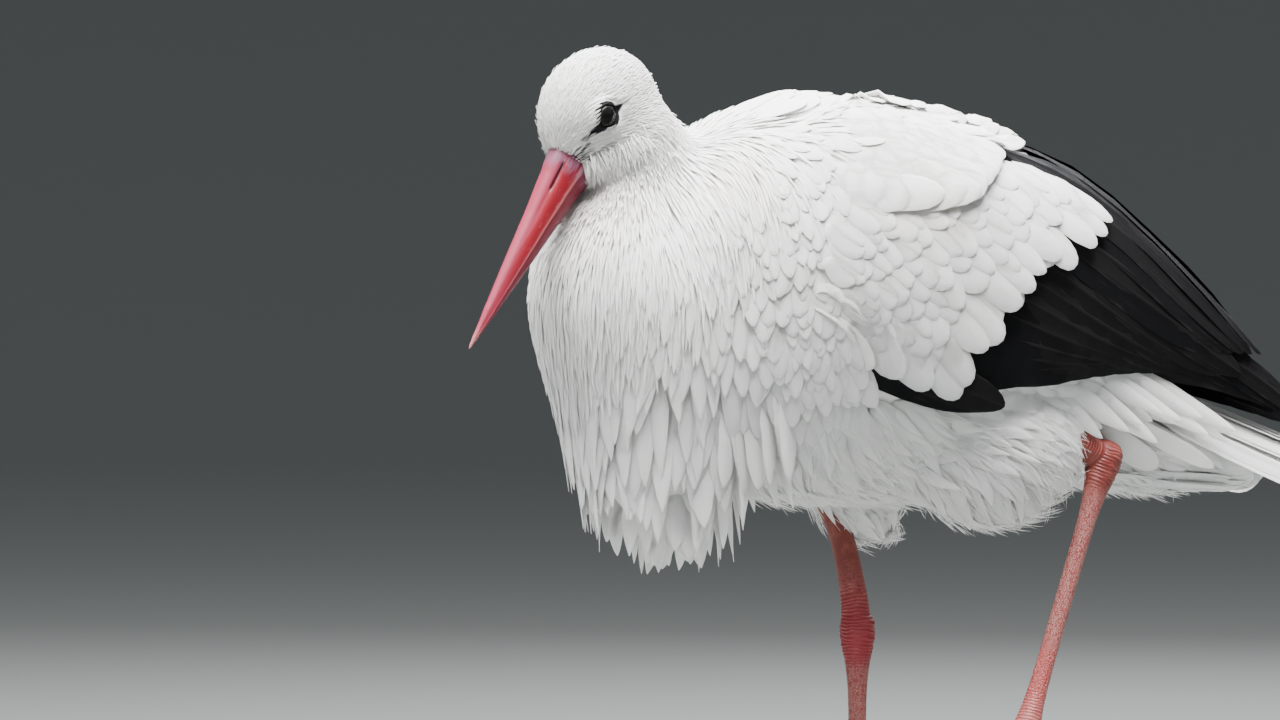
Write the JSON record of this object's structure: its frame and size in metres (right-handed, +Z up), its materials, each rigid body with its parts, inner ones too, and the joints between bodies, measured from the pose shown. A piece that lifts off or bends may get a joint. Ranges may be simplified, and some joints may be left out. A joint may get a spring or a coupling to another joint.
{
  "type": "white stork",
  "caption": "Life-size still model of a white stork resting on its right leg, the left leg drawn up and the head lowered over fluffed breast plumage.",
  "frame": {"origin": "on the floor, at the middle of the flat pad under the standing foot", "axes": "+Z up; the bird faces -Y and its left side is +X"},
  "size_m": [0.216, 0.6684, 0.6],
  "materials": {
    "white_plumage": "matt white feathers, faintly warm, with a soft sheen",
    "black_plumage": "glossy black flight feathers with brownish shafts",
    "bill_horn": "coral red horn with a dull gloss and pale scratches",
    "leg_skin": "red scaly skin, chalky pink in places",
    "claw_horn": "dark brown horn, worn",
    "eye": "wet black eye"
  },
  "bodies": {
    "root": {"head": "white_plumage", "neck": "white_plumage", "breast_ruff": "white_plumage", "trunk": "white_plumage", "thigh_l": "white_plumage", "thigh_r": "white_plumage", "wing_coverts_l": "white_plumage", "wing_coverts_r": "white_plumage", "tail": "white_plumage", "undertail_coverts": "white_plumage", "wing_flight_l": "black_plumage", "wing_flight_r": "black_plumage", "bill_upper": "bill_horn", "bill_lower": "bill_horn", "eye_l": "eye", "eye_r": "eye", "shank_l": "leg_skin", "shank_r": "leg_skin", "tarsus_l": "leg_skin", "tarsus_r": "leg_skin", "toe_middle_l": "leg_skin", "toe_inner_l": "leg_skin", "toe_outer_l": "leg_skin", "toe_hind_l": "leg_skin", "toe_middle_r": "leg_skin", "toe_inner_r": "leg_skin", "toe_outer_r": "leg_skin", "toe_hind_r": "leg_skin", "claw_middle_l": "claw_horn", "claw_inner_l": "claw_horn", "claw_outer_l": "claw_horn", "claw_hind_l": "claw_horn", "claw_middle_r": "claw_horn", "claw_inner_r": "claw_horn", "claw_outer_r": "claw_horn", "claw_hind_r": "claw_horn"}
  },
  "joints": []
}
